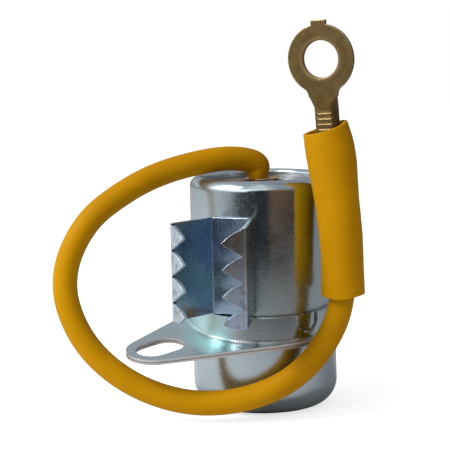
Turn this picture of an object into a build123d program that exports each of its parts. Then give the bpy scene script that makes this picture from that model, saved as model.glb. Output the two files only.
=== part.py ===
"""An ignition condenser: a sealed paper-and-foil capacitor in a drawn steel can, with a mounting bracket
pressed round it, a toothed clip welded to its side, and an insulated lead that ends in a ring terminal.

All sizes are in millimetres. The can stands on its base with its axis on +Z and the origin at the centre
of the base. Angles in plan are in degrees from +X, anticlockwise as seen from above.
"""
from build123d import *
import os
from math import acos, cos, degrees, radians, sin, tan

os.makedirs("parts", exist_ok=True)

# ---------------------------------------------------------------- driving dimensions
# The drawn can, with its mouth curled in over the lid
CAN_RADIUS = 10.75
CAN_HEIGHT = 34.6
CAN_WALL = 0.5
BASE_CORNER = 3.9  # outside radius of the drawn corner
RIM_RADIUS = 1.5  # outside radius of the shoulder at the mouth
CURL_RADIUS = 0.6  # outside radius where the mouth turns down to the lid
LID_DEPTH = 1.2  # from the rim's crown down to the lid

# The lid and what passes through it
LID_THICKNESS = 0.8
LID_PLAY = 0.2  # between the lid's edge and the can
BUSH_WALL = 0.7
BUSH_FLANGE_RADIUS = 3.4
BUSH_FLANGE = 0.25
BUSH_DROP = 0.3  # below the lid, so that the eyelet's roll stays off the metal
EYELET_WALL = 0.25
EYELET_PLAY = 0.05  # round the lead
EYELET_ROLL = 0.65  # how far the eyelet's lower flange reaches past its tube
FLARE_RADIUS = 2.55
FLARE_HEIGHT = 0.45
PETALS = 6
PETAL_GAP = 0.8

# The capacitor inside
LINER_WALL = 0.5
WRAP_WALL = 0.35
LAYER_PLAY = 0.1
CORE_RADIUS = 1.8
CORE_BORE = 1.0
SPRAY_THICKNESS = 0.5
SPRING_HEIGHT = 2.0
SPRING_SHEET = 0.3
SPRING_FINGERS = 6
SPRING_INSET = 0.3  # between its foot and the start of the base's corner
SPRING_FOOT = 0.8
SPRING_CROWN = 1.2  # width of the flat that presses on the winding
SPRING_SLOT_START = 1.8  # from the core's outside
CONTACT_THICKNESS = 0.4
CONTACT_RADIUS = 6.0
WASHER_THICKNESS = 1.0
GASKET_THICKNESS = 1.6
GASKET_BORE = 3.6
WASHER_BORE = 2.6
SOLDER_RADIUS = 1.7
SOLDER_HEIGHT = 0.9
SOLDER_FILLET = 0.25  # how far its top stands off the wire

# The bracket: a plate that slopes, a collar drawn up from it round the can, and a slotted ear
BRACKET_SHEET = 0.8
COLLAR_PLAY = 0.05
BEND_RADIUS = 0.35  # inside radius of the bend between plate and collar
PLATE_LEDGE = 0.7  # plate left outside the collar where there is no ear
PLATE_TILT = 11.3  # the plate rises towards +Y
PLATE_LEVEL = 13.56  # height of the plate's upper face on the can's axis
COLLAR_TILT = 6.5  # the collar's rim rises towards +Y
COLLAR_LEVEL = 16.3  # height of the collar's rim on the can's axis
EAR_ANGLE = 219.0
EAR_LENGTH = 20.3  # from the can's axis to the centre of the ear's round tip
EAR_TIP_RADIUS = 4.2
EAR_FAR_RADIUS = 10.0  # the ear's rear edge aims at a circle of this radius, the front edge at the ledge
EAR_ROOT_FILLET = 2.0
SLOT_INSET = 0.9  # from the centre of the ear's tip back to the slot's middle
SLOT_LENGTH = 7.6
SLOT_WIDTH = 5.0
STAKE_ANGLE = 303.4
STAKE_WIDTH = 3.1
STAKE_DROP = 2.5
STAKE_DEPTH = 0.3

# The toothed clip, a channel of thin sheet with its open side away from the can
CLIP_SHEET = 0.6
CLIP_ANGLE = 246.0
CLIP_GAP = 0.15  # above the collar's rim
CLIP_HEIGHT = 14.0
CLIP_HALF_WIDTH = 3.2  # to the middle of the sheet at the back wall
CLIP_LONG_SIDE = 10.6
CLIP_SHORT_SIDE = 8.1
CLIP_FLARE = 18.4
CLIP_LIP = 3.1
CLIP_LIP_LEAN = 30.0
CLIP_BEND = 0.6
TOOTH_PITCH = 3.72
TOOTH_TOP = 0.15  # from the clip's top to the first notch
TOOTH_ROOT = 0.25  # metal left between a notch and the lip's fold
TOOTH_BELLY = 0.16  # how far the upper flank of a tooth bows out

# The lead: an insulated wire
LEAD_RADIUS = 1.8
WIRE_RADIUS = 0.95
LEAD_START = 0.2  # how far the insulation reaches below the eyelet
ARC_SHARE = 0.45  # share of the shorter run that each bend takes
# its first bends, with heights above the lid
LEAD_EXIT = [(0.0, 0.0, 1.55), (-2.0, -0.8, 3.85), (-7.2, -2.9, 3.9)]
# then its way down round the loop and up to the terminal's grip
LEAD_ROUTE = [
    (-14.1, -5.0, 35.9),
    (-19.6, -6.9, 33.5),
    (-25.9, -9.0, 29.0),
    (-29.4, -10.3, 20.8),
    (-26.8, -11.4, 12.4),
    (-20.5, -12.1, 6.2),
    (-11.9, -12.8, 2.9),
    (-3.2, -13.3, 3.2),
    (4.9, -13.1, 6.6),
    (10.6, -11.8, 13.8),
    (11.7, -11.2, 21.8),
    (11.0, -10.9, 29.0),
]
LEAD_STRAIGHT = 5.9  # the last run, in line with the terminal's grip

# The ring terminal, in its own frame: X across, Y up along the wire, Z towards the plain face
RING_CENTRE = (8.69, -10.75, 51.9)
RING_TURN = 24.0  # the face turns this far from -Y towards -X
RING_LEAN = 3.3  # the wire's end leans this far from vertical
RING_HOLE_RADIUS = 2.65
RING_RADIUS = 4.95
RING_SHEET = 0.6
NIB_WIDTH = 2.2
NIB_HEIGHT = 0.55
RING_HOLE_ROUND = 0.2  # radius of the hole's front edge
NECK_WIDTH = 4.2
NECK_TOP_WIDTH = 5.0
NECK_TOP = 3.9  # below the ring's centre
NECK_END = 5.4  # below the ring's centre
NECK_FILLET = 1.0
BARREL_WIDTH = 3.4
BARREL_DEPTH = 2.3
BARREL_OFFSET = 0.82  # the barrel's middle lies this far behind the ring's
BARREL_LENGTH = 3.8
NECK_RUN = 1.4  # from the neck's end to the barrel's full section
GRIP_GAP = 0.7  # between the wire's barrel and the grip on the insulation
GRIP_LENGTH = 3.2
GRIP_WALL = 0.5
GRIP_STRIP = 2.4  # width of the strip that carries the grip
CRIMP_LINES = 4
CRIMP_LINE_RADIUS = 0.2
CRIMP_LINE_DEPTH = 0.07
SEAM_WIDTH = 0.7
SEAM_DEPTH = 0.35

# The sleeve over the terminal's barrel and the lead's end
SLEEVE_WALL = 0.55
SLEEVE_TOP_LEAN = 17.0
SLEEVE_TOP = 42.2
SLEEVE_BOTTOM = 18.9
SLEEVE_BOTTOM_LEAN = 7.0  # its cut end rises this much to the right
SLEEVE_BOTTOM_SLOPE = 13.0  # and this much to the back
# height, half width and half depth of the sleeve's outside, and how far it hangs to the right of the lead
SLEEVE_SECTIONS = [
    (15.5, 3.1, 3.1, 0.0),
    (24.0, 3.12, 3.1, 0.05),
    (31.0, 3.3, 3.05, 0.1),
    (37.5, 3.6, 3.0, 0.2),
    (44.5, 3.12, 3.0, -0.3),
]

# ---------------------------------------------------------------- derived heights and radii
LID_TOP = CAN_HEIGHT - LID_DEPTH
LID_BOTTOM = LID_TOP - LID_THICKNESS
CAN_BORE = CAN_RADIUS - CAN_WALL
CROWN_RADIUS = CAN_RADIUS - RIM_RADIUS
CURL_INNER = CROWN_RADIUS - CURL_RADIUS
EYELET_BORE = LEAD_RADIUS + EYELET_PLAY
EYELET_RADIUS = EYELET_BORE + EYELET_WALL
BUSH_RADIUS = EYELET_RADIUS + BUSH_WALL
FLARE_BASE = LID_TOP + BUSH_FLANGE
BUSH_BOTTOM = LID_BOTTOM - BUSH_DROP
EYELET_BOTTOM = BUSH_BOTTOM - EYELET_WALL
GASKET_BOTTOM = LID_BOTTOM - GASKET_THICKNESS
WASHER_BOTTOM = GASKET_BOTTOM - WASHER_THICKNESS
CONTACT_BOTTOM = WASHER_BOTTOM - CONTACT_THICKNESS
TOP_SPRAY_BOTTOM = CONTACT_BOTTOM - SPRAY_THICKNESS
BOTTOM_SPRAY_BOTTOM = CAN_WALL + SPRING_HEIGHT
WINDING_BOTTOM = BOTTOM_SPRAY_BOTTOM + SPRAY_THICKNESS
LINER_RADIUS = CAN_BORE - LAYER_PLAY
WRAP_RADIUS = LINER_RADIUS - LINER_WALL - LAYER_PLAY
WINDING_RADIUS = WRAP_RADIUS - WRAP_WALL
COLLAR_BORE = CAN_RADIUS + COLLAR_PLAY
COLLAR_RADIUS = COLLAR_BORE + BRACKET_SHEET
PLATE_RADIUS = COLLAR_RADIUS + PLATE_LEDGE
GRIP_RADIUS = LEAD_RADIUS + GRIP_WALL

# ---------------------------------------------------------------- helpers
def tube(outer, inner, bottom, top):
    """A round tube on the can's axis, or a disc where the inner radius is nothing."""
    ring = Circle(outer) - Circle(inner) if inner else Circle(outer)
    return extrude(Pos(0, 0, bottom) * ring, amount=top - bottom)


def turned(*lines):
    """A solid turned about the can's axis from a closed outline of (radius, height) lines."""
    return revolve(Plane.XZ * make_face([edge for line in lines for edge in line.edges()]), Axis.Z)


def polar(radius, angle):
    return Vector(radius * cos(radians(angle)), radius * sin(radians(angle)))


def sloping(level, tilt):
    """A plane that crosses the can's axis at a height and rises towards +Y."""
    rise = radians(tilt)
    return Plane(origin=(0, 0, level), x_dir=(1, 0, 0), z_dir=(0, -sin(rise), cos(rise)))


# ---------------------------------------------------------------- the can and its closure
def can():
    """One drawn cup: a flat base, a round corner, a straight wall and a mouth curled in on the lid."""
    corner = (CAN_RADIUS - BASE_CORNER, BASE_CORNER)
    shoulder = (CROWN_RADIUS, CAN_HEIGHT - RIM_RADIUS)
    curl = (CROWN_RADIUS, CAN_HEIGHT - CURL_RADIUS)
    base = Line((0, 0), (corner[0], 0))
    outer_corner = CenterArc(corner, BASE_CORNER, -90, 90)
    outer_wall = Line((CAN_RADIUS, BASE_CORNER), (CAN_RADIUS, shoulder[1]))
    outer_shoulder = CenterArc(shoulder, RIM_RADIUS, 0, 90)
    outer_curl = CenterArc(curl, CURL_RADIUS, 90, 90)
    lip = Polyline(
        (CURL_INNER, curl[1]),
        (CURL_INNER, LID_TOP),
        (CURL_INNER + CAN_WALL, LID_TOP),
        (CURL_INNER + CAN_WALL, curl[1]),
    )
    inner_curl = CenterArc(curl, CURL_RADIUS - CAN_WALL, 180, -90)
    inner_shoulder = CenterArc(shoulder, RIM_RADIUS - CAN_WALL, 90, -90)
    inner_wall = Line((CAN_BORE, shoulder[1]), (CAN_BORE, BASE_CORNER))
    inner_corner = CenterArc(corner, BASE_CORNER - CAN_WALL, 0, -90)
    floor = Polyline((corner[0], CAN_WALL), (0, CAN_WALL), (0, 0))
    outside = (base, outer_corner, outer_wall, outer_shoulder, outer_curl)
    return turned(*outside, lip, inner_curl, inner_shoulder, inner_wall, inner_corner, floor)


def lid():
    return tube(CAN_BORE - LID_PLAY, BUSH_RADIUS, LID_BOTTOM, LID_TOP)


def insulating_bush():
    """A flanged bush that keeps the live eyelet off the lid."""
    barrel = tube(BUSH_RADIUS, EYELET_RADIUS, BUSH_BOTTOM, LID_TOP)
    return barrel + tube(BUSH_FLANGE_RADIUS, EYELET_RADIUS, LID_TOP, FLARE_BASE)


def eyelet():
    """A brass tube, rolled out below the bush and split into flared petals above it."""
    roll = EYELET_RADIUS + EYELET_ROLL
    flare_top = FLARE_BASE + FLARE_HEIGHT
    outline = Polyline(
        (EYELET_BORE, EYELET_BOTTOM),
        (roll, EYELET_BOTTOM),
        (roll, BUSH_BOTTOM),
        (EYELET_RADIUS, BUSH_BOTTOM),
        (EYELET_RADIUS, FLARE_BASE),
        (FLARE_RADIUS, flare_top),
        (FLARE_RADIUS - EYELET_WALL, flare_top + EYELET_WALL / 2),
        (EYELET_BORE, FLARE_BASE + EYELET_WALL),
        close=True,
    )
    gap = Box(FLARE_RADIUS, PETAL_GAP, 2 * FLARE_HEIGHT, align=(Align.MIN, Align.CENTER, Align.MIN))
    gap = Pos(EYELET_BORE - EYELET_WALL, 0, FLARE_BASE + EYELET_WALL / 2) * gap
    return turned(outline) - [Rot(0, 0, 360 * i / PETALS) * gap for i in range(PETALS)]


# ---------------------------------------------------------------- inside the can
def liner():
    """The paper tube round the winding. It stands in the base corner and holds up the gasket."""
    reach = LINER_RADIUS - (CAN_RADIUS - BASE_CORNER)
    seat = BASE_CORNER - ((BASE_CORNER - CAN_WALL) ** 2 - reach**2) ** 0.5
    return tube(LINER_RADIUS, LINER_RADIUS - LINER_WALL, seat, GASKET_BOTTOM)


def contact_spring():
    """A dished disc with fingers cut into its rim. It presses the winding up and earths its lower end."""
    foot = CAN_RADIUS - BASE_CORNER - SPRING_INSET
    top = CAN_WALL + SPRING_HEIGHT
    outline = Polyline(
        (foot, CAN_WALL),
        (foot, CAN_WALL + SPRING_SHEET),
        (foot - SPRING_FOOT, CAN_WALL + SPRING_SHEET),
        (CORE_RADIUS + SPRING_CROWN, top),
        (CORE_RADIUS, top),
        (CORE_RADIUS, top - SPRING_SHEET),
        (CORE_RADIUS + SPRING_CROWN, top - SPRING_SHEET),
        (foot - SPRING_FOOT, CAN_WALL),
        close=True,
    )
    slot = Box(foot, 2 * SPRING_SHEET, 4 * SPRING_HEIGHT, align=(Align.MIN, Align.CENTER, Align.CENTER))
    slot = Pos(CORE_RADIUS + SPRING_SLOT_START, 0, 0) * slot
    return turned(outline) - [Rot(0, 0, 360 * i / SPRING_FINGERS) * slot for i in range(SPRING_FINGERS)]


def solder_joint():
    """The cone of solder that joins the wire to the contact plate."""
    foot = (Align.CENTER, Align.CENTER, Align.MIN)
    cone = Cone(SOLDER_RADIUS, WIRE_RADIUS + SOLDER_FILLET, SOLDER_HEIGHT, align=foot)
    wire = Cylinder(WIRE_RADIUS, 4 * SOLDER_HEIGHT)
    return Pos(0, 0, WASHER_BOTTOM) * (cone - wire)


# ---------------------------------------------------------------- the bracket
def plate_outline():
    """The plate seen along its own normal: a ledge round the collar and an ear with a round tip."""
    stretch = 1 / cos(radians(PLATE_TILT))
    tip = polar(EAR_LENGTH, EAR_ANGLE)
    near = EAR_ANGLE + degrees(acos((PLATE_RADIUS - EAR_TIP_RADIUS) / EAR_LENGTH))
    far = EAR_ANGLE - degrees(acos((EAR_FAR_RADIUS - EAR_TIP_RADIUS) / EAR_LENGTH))
    near_root = polar(PLATE_RADIUS, near)
    near_root = Vector(near_root.X, near_root.Y * stretch)
    ear = Polygon(
        polar(EAR_FAR_RADIUS, far),
        tip + polar(EAR_TIP_RADIUS, far),
        tip + polar(EAR_TIP_RADIUS, near),
        near_root,
        align=None,
    )
    outline = Ellipse(PLATE_RADIUS, PLATE_RADIUS * stretch) + ear + Pos(tip) * Circle(EAR_TIP_RADIUS)
    root = polar(PLATE_RADIUS, far + degrees(acos(EAR_FAR_RADIUS / PLATE_RADIUS)))
    return fillet(outline.vertices().sort_by_distance(root)[0], EAR_ROOT_FILLET)


def collar_rim(spot):
    """The height of the collar's rim above a point in plan."""
    return COLLAR_LEVEL + spot.Y * tan(radians(COLLAR_TILT))


def stake():
    """What the D-shaped punch mark, which locks the collar on the can, takes out of the collar's outside."""
    spot = polar(COLLAR_RADIUS, STAKE_ANGLE)
    straight = STAKE_DROP - STAKE_WIDTH / 2
    mark = Pos(0, -straight / 2 + 0.5) * Rectangle(STAKE_WIDTH, straight + 1)
    mark += Pos(0, -straight) * Circle(STAKE_WIDTH / 2)
    across = (-spot.Y, spot.X, 0)
    face = Plane(origin=(spot.X, spot.Y, collar_rim(spot)), x_dir=across, z_dir=(spot.X, spot.Y, 0))
    punch = extrude(face * mark, amount=COLLAR_RADIUS / 4, both=True)
    return punch - Cylinder(COLLAR_RADIUS - STAKE_DEPTH, 4 * CAN_HEIGHT)


def bracket():
    """One pressing: the sloping plate with its slotted ear, and the collar drawn up from it."""
    top = sloping(PLATE_LEVEL, PLATE_TILT)
    plate = extrude(top * plate_outline(), amount=-BRACKET_SHEET)
    plate -= Cylinder(COLLAR_BORE, 4 * CAN_HEIGHT)
    collar = tube(COLLAR_RADIUS, COLLAR_BORE, 0, CAN_HEIGHT)
    collar = split(collar, bisect_by=top.offset(-BRACKET_SHEET), keep=Keep.TOP)
    collar = split(collar, bisect_by=sloping(COLLAR_LEVEL, COLLAR_TILT), keep=Keep.BOTTOM)
    pressing = plate + collar

    def ring(radius, drop):
        """The edges of a round corner at one radius, that far below the plate's upper face."""
        found = []
        for edge in pressing.edges():
            points = [edge @ (i / 4) for i in range(4)]
            round_enough = all(abs(Vector(p.X, p.Y).length - radius) < 0.01 for p in points)
            if round_enough and all(abs(top.to_local_coords(p).Z + drop) < 0.01 for p in points):
                found.append(edge)
        return found

    pressing = fillet(ring(COLLAR_RADIUS, 0), BEND_RADIUS)
    pressing = fillet(ring(COLLAR_BORE, BRACKET_SHEET), BEND_RADIUS + BRACKET_SHEET)
    slot = SlotOverall(SLOT_LENGTH, SLOT_WIDTH, rotation=EAR_ANGLE)
    slot = top * (Pos(polar(EAR_LENGTH - SLOT_INSET, EAR_ANGLE)) * slot)
    pressing -= extrude(slot, amount=2 * BRACKET_SHEET, both=True)
    return pressing - stake()


# ---------------------------------------------------------------- the toothed clip
def lip_notches(fold):
    """The cuts between the teeth of a lip that leans towards -Y from its fold, a point in plan."""
    lean = radians(CLIP_LIP_LEAN)
    along = Vector(sin(lean), -cos(lean), 0)
    lip = Plane(origin=(fold.X, fold.Y, CLIP_HEIGHT), x_dir=along, z_dir=(cos(lean), sin(lean), 0))
    reach = CLIP_LIP + 0.1
    cuts = []
    for i in range(int(CLIP_HEIGHT / TOOTH_PITCH) + 2):
        drop = TOOTH_TOP + i * TOOTH_PITCH
        valley = Vector(TOOTH_ROOT, drop)
        above = Vector(reach, drop - TOOTH_PITCH / 2)
        below = Vector(reach, drop + TOOTH_PITCH / 2)
        belly = (valley + below) * 0.5 + Vector(TOOTH_BELLY, -TOOTH_BELLY)
        flanks = Line(below, above) + Line(above, valley) + ThreePointArc(valley, belly, below)
        cuts.append(extrude(lip * make_face(flanks.edges()), amount=1.2 * CLIP_SHEET, both=True))
    return cuts


def clip():
    """A channel folded from one strip, with a row of teeth along the lip of each side."""
    back = CAN_RADIUS + CLIP_SHEET / 2
    corner = Vector(back, CLIP_HALF_WIDTH)
    long_fold, short_fold = (corner + polar(side, CLIP_FLARE) for side in (CLIP_LONG_SIDE, CLIP_SHORT_SIDE))
    lip = polar(CLIP_LIP, CLIP_LIP_LEAN - 90)
    left = [long_fold + lip, long_fold, corner]
    right = [Vector(p.X, -p.Y) for p in (corner, short_fold, short_fold + lip)]
    middle = FilletPolyline(*left, *right, radius=CLIP_BEND)
    channel = extrude(trace(middle, line_width=CLIP_SHEET), amount=CLIP_HEIGHT)
    channel -= lip_notches(long_fold)
    channel -= [mirror(notch, about=Plane.XZ) for notch in lip_notches(short_fold)]
    corners = [Vector(back, side * CLIP_HALF_WIDTH).rotate(Axis.Z, CLIP_ANGLE) for side in (1, -1)]
    bottom = max(collar_rim(spot) for spot in corners) + CLIP_GAP
    return Pos(0, 0, bottom) * Rot(0, 0, CLIP_ANGLE) * channel


# ---------------------------------------------------------------- the ring terminal
def terminal_plane():
    """The middle of the ring's sheet, with X across it and Y up along the wire."""
    up = Vector(0, 0, 1).rotate(Axis.Y, -RING_LEAN)
    face = Vector(1, 0, 0).rotate(Axis.Z, -RING_TURN).cross(up)
    return Plane(origin=RING_CENTRE, x_dir=up.cross(face), z_dir=face)


TERMINAL = terminal_plane()
BARREL_TOP = NECK_END + NECK_RUN
BARREL_END = BARREL_TOP + BARREL_LENGTH
GRIP_TOP = BARREL_END + GRIP_GAP
WIRE_END = BARREL_TOP + NECK_RUN


def on_barrel(drop):
    """The point on the barrel's middle line, that far below the ring's centre."""
    return TERMINAL.from_local_coords(Vector(0, -drop, -BARREL_OFFSET))


def across_barrel(drop, depth=-BARREL_OFFSET):
    """The plane square to the barrel at that drop, in the terminal's own frame."""
    return Plane(origin=(0, -drop, depth), x_dir=(1, 0, 0), z_dir=(0, 1, 0))


def ring_terminal():
    """One stamping: the ring with its nib, the neck, the wire's barrel and the insulation's grip."""
    neck = Polygon(
        (-NECK_TOP_WIDTH / 2, -NECK_TOP),
        (-NECK_WIDTH / 2, -NECK_END),
        (NECK_WIDTH / 2, -NECK_END),
        (NECK_TOP_WIDTH / 2, -NECK_TOP),
        align=None,
    )
    outline = Circle(RING_RADIUS) + neck
    hollows = [v for v in outline.vertices() if -NECK_END + 0.1 < v.Y < -RING_HOLE_RADIUS]
    outline = fillet(hollows, NECK_FILLET)
    outline += Pos(0, RING_RADIUS) * Rectangle(NIB_WIDTH, 2 * NIB_HEIGHT)
    ring = extrude(outline - Circle(RING_HOLE_RADIUS), amount=RING_SHEET / 2, both=True)
    circles = ring.edges().filter_by(GeomType.CIRCLE)
    hole_edges = circles.filter_by(lambda edge: edge.radius == RING_HOLE_RADIUS)
    ring = fillet(hole_edges.sort_by(Axis.Z)[-1], RING_HOLE_ROUND)

    flat = across_barrel(NECK_END, 0) * RectangleRounded(NECK_WIDTH, RING_SHEET, RING_SHEET * 0.45)
    section = RectangleRounded(BARREL_WIDTH, BARREL_DEPTH, BARREL_DEPTH * 0.4)
    neck_run = loft([flat, across_barrel(BARREL_TOP) * section])
    barrel = extrude(across_barrel(BARREL_END) * section, amount=BARREL_LENGTH)
    bore = extrude(across_barrel(GRIP_TOP) * Circle(WIRE_RADIUS), amount=BARREL_LENGTH + GRIP_GAP)
    back = -BARREL_OFFSET - BARREL_DEPTH / 2
    seam = Polygon((-SEAM_WIDTH / 2, -SEAM_DEPTH), (0, SEAM_DEPTH), (SEAM_WIDTH / 2, -SEAM_DEPTH), align=None)
    barrel_foot = Plane(origin=(0, -BARREL_END, back), x_dir=(1, 0, 0), z_dir=(0, -1, 0))
    seam = extrude(barrel_foot * seam, -BARREL_LENGTH)
    front = BARREL_DEPTH / 2 - BARREL_OFFSET + CRIMP_LINE_RADIUS - CRIMP_LINE_DEPTH
    line = Rot(0, 90, 0) * Cylinder(CRIMP_LINE_RADIUS, 2 * BARREL_WIDTH)
    spacing = BARREL_LENGTH / (CRIMP_LINES + 1)
    lines = [Pos(0, -BARREL_TOP - spacing * (i + 1), front) * line for i in range(CRIMP_LINES)]

    grip = across_barrel(GRIP_TOP + GRIP_LENGTH) * (Circle(GRIP_RADIUS) - Circle(LEAD_RADIUS))
    grip = extrude(grip, amount=GRIP_LENGTH)
    strip_ends = [
        across_barrel(BARREL_END, BARREL_DEPTH / 2 - BARREL_OFFSET - GRIP_WALL / 2),
        across_barrel(GRIP_TOP, LEAD_RADIUS - BARREL_OFFSET + GRIP_WALL / 2),
    ]
    strip = loft([end * Rectangle(GRIP_STRIP, GRIP_WALL) for end in strip_ends])
    stamping = ring + neck_run + (barrel + strip - bore - seam - lines) + grip
    return TERMINAL.location * stamping


# ---------------------------------------------------------------- the lead and its sleeve
def bend_radii(points):
    """The largest arc that fits at each inner point of a route, from its runs and its turn."""
    radii = []
    for before, point, after in zip(points, points[1:], points[2:]):
        run = min((point - before).length, (after - point).length)
        half_turn = radians((point - before).get_angle(after - point)) / 2
        radii.append(ARC_SHARE * run / tan(half_turn))
    return radii


LEAD_POINTS = [
    Vector(0, 0, EYELET_BOTTOM - LEAD_START),
    *[Vector(x, y, LID_TOP + z) for x, y, z in LEAD_EXIT],
    *[Vector(*point) for point in LEAD_ROUTE],
    on_barrel(GRIP_TOP + LEAD_STRAIGHT),
    on_barrel(GRIP_TOP),
]
LEAD_RADII = bend_radii(LEAD_POINTS)
WIRE_POINTS = [Vector(0, 0, WASHER_BOTTOM), *LEAD_POINTS[1:-1], on_barrel(WIRE_END)]


def along(points, radii, section):
    """A section swept along straight runs joined by tangent arcs."""
    path = FilletPolyline(*points, radius=radii)
    return sweep(Plane(origin=points[0], z_dir=points[1] - points[0]) * section, path=path)


def lead_at(height):
    """The place and direction of the wire where its last, rising stretch passes a height."""
    path = FilletPolyline(*WIRE_POINTS, radius=LEAD_RADII)
    low, high = 0.75, 1.0
    for _ in range(40):
        middle = (low + high) / 2
        if (path @ middle).Z < height:
            low = middle
        else:
            high = middle
    return path @ low, path % low


def terminal_sleeve():
    """A soft tube over the terminal's barrel and the lead's end, pulled oval by the grip inside it."""
    outer, inner = [], []
    for height, half_width, half_depth, shift in SLEEVE_SECTIONS:
        centre, direction = lead_at(height)
        centre += TERMINAL.x_dir * shift
        square = Plane(origin=centre, x_dir=TERMINAL.x_dir, z_dir=direction)
        outer.append(square * Ellipse(half_width, half_depth))
        inner.append(square * Ellipse(half_width - SLEEVE_WALL, half_depth - SLEEVE_WALL))
    sleeve = loft(outer) - loft(inner)
    top = Plane(origin=lead_at(SLEEVE_TOP)[0], z_dir=Vector(0, 0, 1).rotate(Axis.Y, -SLEEVE_TOP_LEAN))
    bottom_up = Vector(0, 0, 1).rotate(Axis.X, SLEEVE_BOTTOM_SLOPE).rotate(Axis.Y, -SLEEVE_BOTTOM_LEAN)
    bottom = Plane(origin=lead_at(SLEEVE_BOTTOM)[0], z_dir=bottom_up)
    sleeve = split(sleeve, bisect_by=top, keep=Keep.BOTTOM)
    return split(sleeve, bisect_by=bottom, keep=Keep.TOP)


# ---------------------------------------------------------------- the nodes
NODES = {
    "can": can(),
    "lid": lid(),
    "insulating_bush": insulating_bush(),
    "eyelet": eyelet(),
    "gasket": tube(CAN_BORE - LAYER_PLAY, GASKET_BORE, GASKET_BOTTOM, LID_BOTTOM),
    "insulating_washer": tube(WRAP_RADIUS, WASHER_BORE, WASHER_BOTTOM, GASKET_BOTTOM),
    "contact_plate": tube(CONTACT_RADIUS, 0, CONTACT_BOTTOM, WASHER_BOTTOM),
    "solder_joint": solder_joint(),
    "top_end_spray": tube(WINDING_RADIUS, 0, TOP_SPRAY_BOTTOM, CONTACT_BOTTOM),
    "winding": tube(WINDING_RADIUS, CORE_RADIUS, WINDING_BOTTOM, TOP_SPRAY_BOTTOM),
    "winding_core": tube(CORE_RADIUS, CORE_BORE, WINDING_BOTTOM, TOP_SPRAY_BOTTOM),
    "bottom_end_spray": tube(WINDING_RADIUS, 0, BOTTOM_SPRAY_BOTTOM, WINDING_BOTTOM),
    "winding_wrap": tube(WRAP_RADIUS, WINDING_RADIUS, BOTTOM_SPRAY_BOTTOM, CONTACT_BOTTOM),
    "liner": liner(),
    "contact_spring": contact_spring(),
    "bracket": bracket(),
    "clip": clip(),
    "lead_insulation": along(LEAD_POINTS, LEAD_RADII, Circle(LEAD_RADIUS) - Circle(WIRE_RADIUS)),
    "lead_wire": along(WIRE_POINTS, LEAD_RADII, Circle(WIRE_RADIUS)),
    "terminal_sleeve": terminal_sleeve(),
    "ring_terminal": ring_terminal(),
}

for name, shape in NODES.items():
    export_step(shape, f"parts/{name}.step")

lead_path = FilletPolyline(*LEAD_POINTS, radius=LEAD_RADII)
ring_area = 3.14159265 * (LEAD_RADIUS**2 - WIRE_RADIUS**2)
print("lead bend radii", [round(r, 1) for r in LEAD_RADII])
print("lead runs", [round((b - a).length, 1) for a, b in zip(LEAD_POINTS, LEAD_POINTS[1:])])
print("lead length", round(lead_path.length, 1), "section x length", round(ring_area * lead_path.length, 1))
print("insulation volume", round(NODES["lead_insulation"].volume, 1))
print("pieces", len(NODES))
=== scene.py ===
"""The looks of an ignition condenser: a zinc-plated can in a slotted bracket, with a toothed cable clip, a yellow
lead that loops round to a sleeve, and a brass ring terminal.

The CAD parts stay as they are and get their finishes here. The lead and its sleeve are new pieces."""

import bpy
import numpy as np
from mathutils import Matrix

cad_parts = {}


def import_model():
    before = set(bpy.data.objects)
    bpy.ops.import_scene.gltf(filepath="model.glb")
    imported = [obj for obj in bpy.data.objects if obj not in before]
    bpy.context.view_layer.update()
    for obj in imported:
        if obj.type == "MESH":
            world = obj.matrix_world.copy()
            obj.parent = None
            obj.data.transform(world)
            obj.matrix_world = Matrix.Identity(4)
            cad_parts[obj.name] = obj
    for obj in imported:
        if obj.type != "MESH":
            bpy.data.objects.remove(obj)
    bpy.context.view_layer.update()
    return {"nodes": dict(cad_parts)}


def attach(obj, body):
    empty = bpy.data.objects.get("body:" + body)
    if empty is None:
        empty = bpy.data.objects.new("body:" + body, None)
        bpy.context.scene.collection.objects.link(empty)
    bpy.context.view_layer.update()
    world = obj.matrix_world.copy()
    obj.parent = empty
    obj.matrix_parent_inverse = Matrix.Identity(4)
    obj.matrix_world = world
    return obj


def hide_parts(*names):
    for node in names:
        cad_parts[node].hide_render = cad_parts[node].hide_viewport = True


MM = 0.001
UP = (0.0, 0.0, 1.0)

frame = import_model()
parts = frame["nodes"]
scene = bpy.context.scene


# ================================================================ shader node helpers
def feed(tree, socket, value):
    """Gives an input socket its value, or links it to the output socket that feeds it."""
    if isinstance(value, bpy.types.NodeSocket):
        tree.links.new(value, socket)
    else:
        socket.default_value = value


def add(tree, kind, inputs=(), **settings):
    """One node. inputs says what feeds each of its sockets, and settings are the node's own."""
    node = tree.nodes.new(kind)
    for name, value in settings.items():
        setattr(node, name, value)
    for label, value in dict(inputs).items():
        feed(tree, node.inputs[label], value)
    return node


def maths(tree, operation, a, b=0.0):
    """The value of one sum, product, power or other operation."""
    return add(tree, "ShaderNodeMath", {0: a, 1: b}, operation=operation).outputs[0]


def blend_colours(tree, share, first, second):
    """The first colour, turning to the second as share goes from 0 to 1."""
    node = add(tree, "ShaderNodeMix", data_type="RGBA")
    for label, value in (("Factor_Float", share), ("A_Color", first), ("B_Color", second)):
        feed(tree, next(s for s in node.inputs if s.identifier == label), value)
    return next(s for s in node.outputs if s.identifier == "Result_Color")


def span(tree, value, low, high, to_low=0.0, to_high=1.0):
    """The value carried from low..high to to_low..to_high, smoothly, and held at the ends."""
    sockets = {"Value": value, "From Min": low, "From Max": high, "To Min": to_low, "To Max": to_high}
    node = add(tree, "ShaderNodeMapRange", sockets, interpolation_type="SMOOTHSTEP")
    return node.outputs["Result"]


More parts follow.
